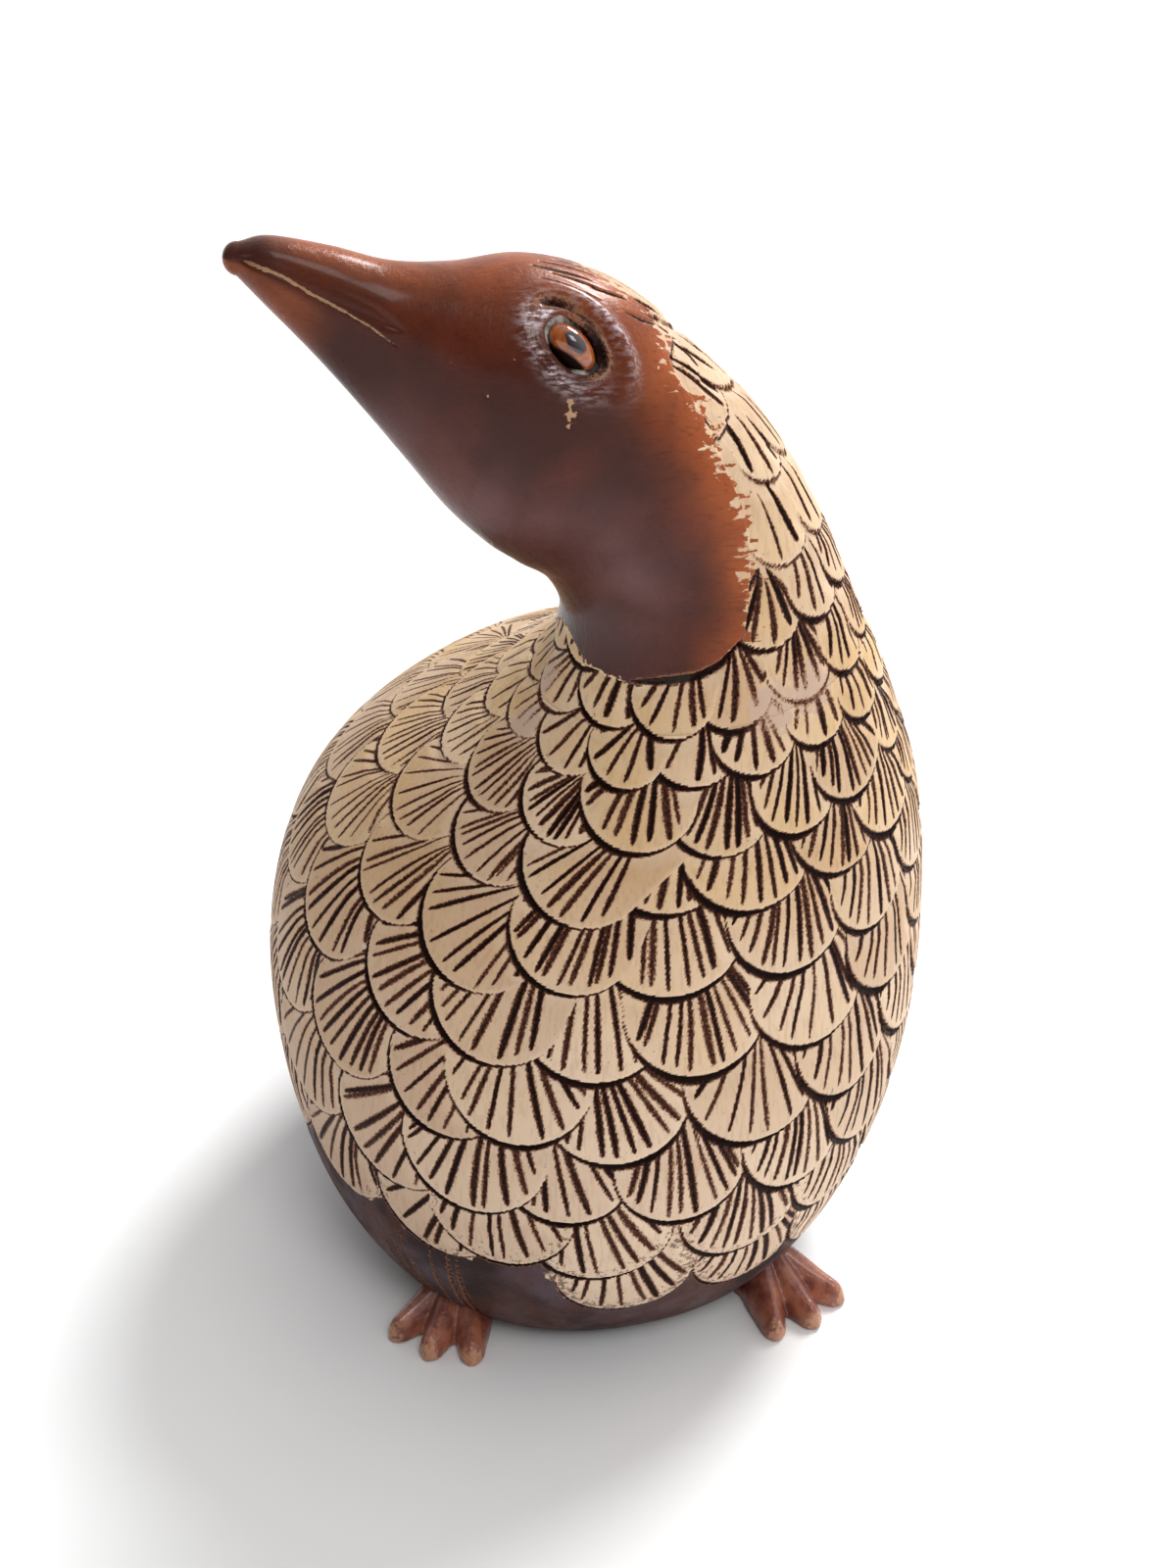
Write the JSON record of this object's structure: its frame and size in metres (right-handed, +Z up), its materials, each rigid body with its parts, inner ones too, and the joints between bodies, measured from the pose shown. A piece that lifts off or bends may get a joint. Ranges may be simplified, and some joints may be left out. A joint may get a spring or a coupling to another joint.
{
  "type": "carved duck decoy",
  "caption": "Upright carved and painted wooden duck decoy with a hollowed two-part body, a dowelled head turned to its right, bead eyes and inset feet.",
  "frame": {"origin": "on the flat underside of the base, near its middle", "axes": "+Z up, -Y towards the breast, -X towards the duck's right side, to which the head is turned"},
  "size_m": [0.2044, 0.2401, 0.3059],
  "materials": {
    "painted_wood": "satin",
    "lacquered_wood": "gloss",
    "foot_wood": "gloss",
    "dowel_wood": "matte",
    "eye_bead": "gloss",
    "putty": "matte"
  },
  "bodies": {
    "root": {"body_upper_half": "painted_wood", "body_lower_half": "painted_wood", "head_neck_block": "lacquered_wood", "eye_bead_left": "eye_bead", "eye_bead_right": "eye_bead", "eye_putty_left": "putty", "eye_putty_right": "putty", "foot_left": "foot_wood", "foot_right": "foot_wood", "neck_dowel": "dowel_wood", "seam_dowel_back_left": "dowel_wood", "seam_dowel_back_right": "dowel_wood", "seam_dowel_front_left": "dowel_wood", "seam_dowel_front_right": "dowel_wood", "foot_dowel_left": "dowel_wood", "foot_dowel_right": "dowel_wood"}
  },
  "joints": []
}
